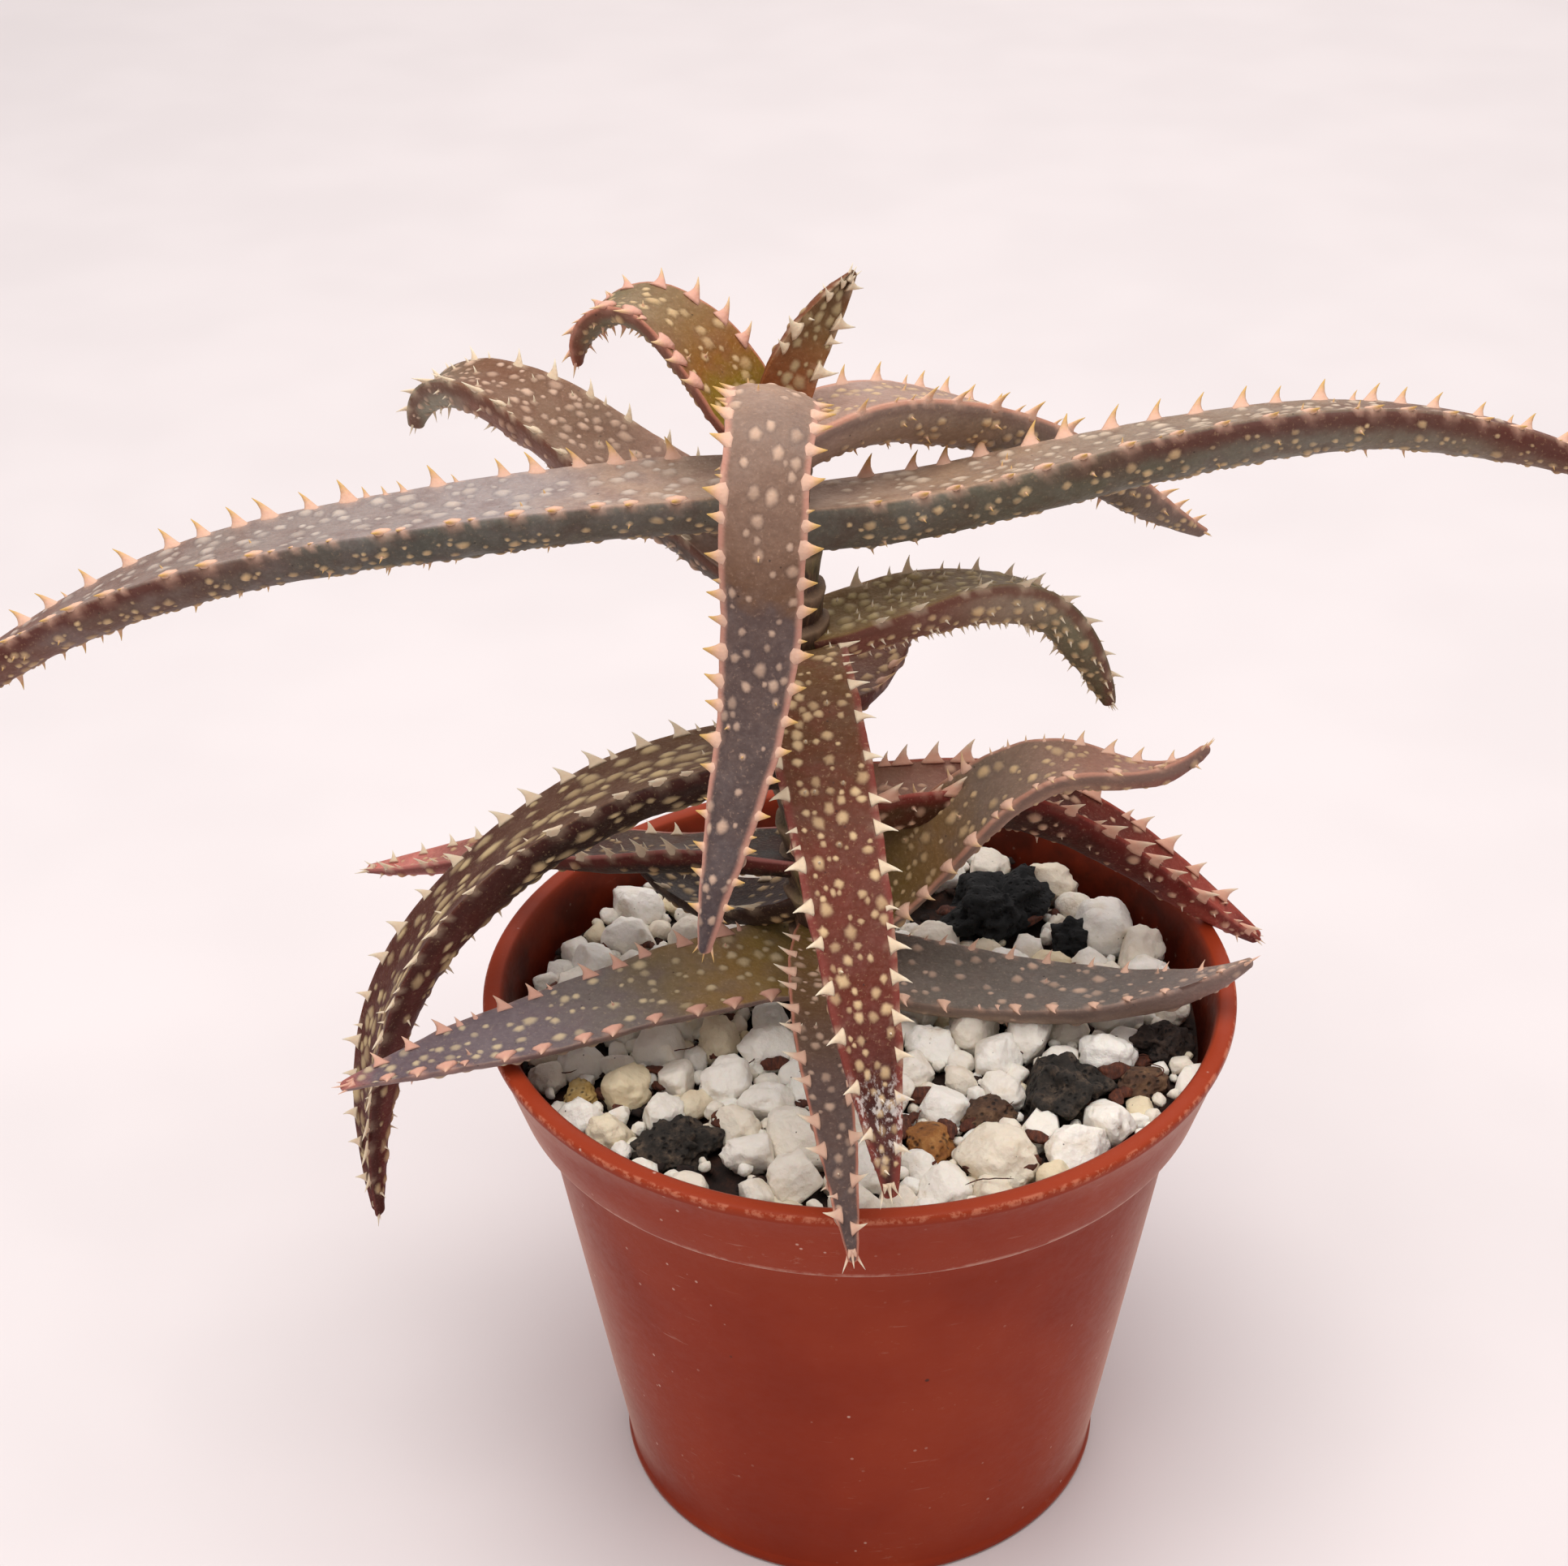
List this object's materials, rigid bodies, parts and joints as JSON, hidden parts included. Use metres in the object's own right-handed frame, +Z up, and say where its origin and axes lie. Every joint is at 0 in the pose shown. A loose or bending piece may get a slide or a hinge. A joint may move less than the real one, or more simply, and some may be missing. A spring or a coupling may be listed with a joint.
{
  "type": "potted succulent",
  "caption": "Stemmed spotted succulent with arching, blunt-toothed leaves, in a terracotta-coloured plastic nursery pot topped with perlite and lava grit.",
  "frame": {"origin": "centre of the pot's underside, on the plane it stands on", "axes": "+Z up along the pot's axis, +X to the right across the widest spread of the leaves, -Y toward the viewer"},
  "size_m": [0.1967, 0.0977, 0.1478],
  "materials": {
    "pot_plastic": "terracotta-coloured moulded plastic, satin, scuffed at the lip",
    "potting_mix": "dark damp potting mix of bark and coir",
    "perlite": "dusty white expanded mineral grains",
    "lava_black": "black porous lava",
    "stone_brown": "brown porous stone",
    "stone_ochre": "ochre gravel",
    "stem": "dry brown and olive leaf sheaths",
    "leaf_olive": "olive to brown waxy leaf skin with pale raised spots",
    "leaf_mauve": "grey-mauve waxy leaf skin with pale raised spots",
    "leaf_maroon": "dark maroon waxy leaf skin with pale raised spots",
    "leaf_red": "deep red waxy leaf skin with cream spots",
    "leaf_grey": "blue-grey waxy leaf skin over an olive base"
  },
  "bodies": {
    "root": {"pot": "pot_plastic", "potting_mix": "potting_mix", "perlite_bed": "perlite", "lava_black_back": "lava_black", "lava_black_left": "lava_black", "lava_black_small": "lava_black", "lava_grey_right": "lava_black", "lava_brown_right": "stone_brown", "stone_brown_right": "stone_brown", "stone_brown_front": "stone_brown", "stone_ochre": "stone_ochre", "lava_dark_left": "lava_black", "stone_yellow_left": "stone_ochre", "stem": "stem", "leaf_crown_left_curl": "leaf_olive", "leaf_crown_spike": "leaf_olive", "leaf_right_behind": "leaf_mauve", "leaf_front_hanging": "leaf_mauve", "leaf_long_left": "leaf_mauve", "leaf_long_right": "leaf_mauve", "leaf_left_curl": "leaf_maroon", "leaf_right_curl": "leaf_olive", "leaf_front_red": "leaf_red", "leaf_back_rising": "leaf_maroon", "leaf_left_arch": "leaf_maroon", "leaf_right_channelled": "leaf_red", "leaf_left_pink_tip": "leaf_maroon", "leaf_left_inner": "leaf_maroon", "leaf_right_olive": "leaf_olive", "leaf_front_low": "leaf_mauve", "leaf_rim_left": "leaf_grey", "leaf_rim_right": "leaf_grey"}
  },
  "joints": []
}
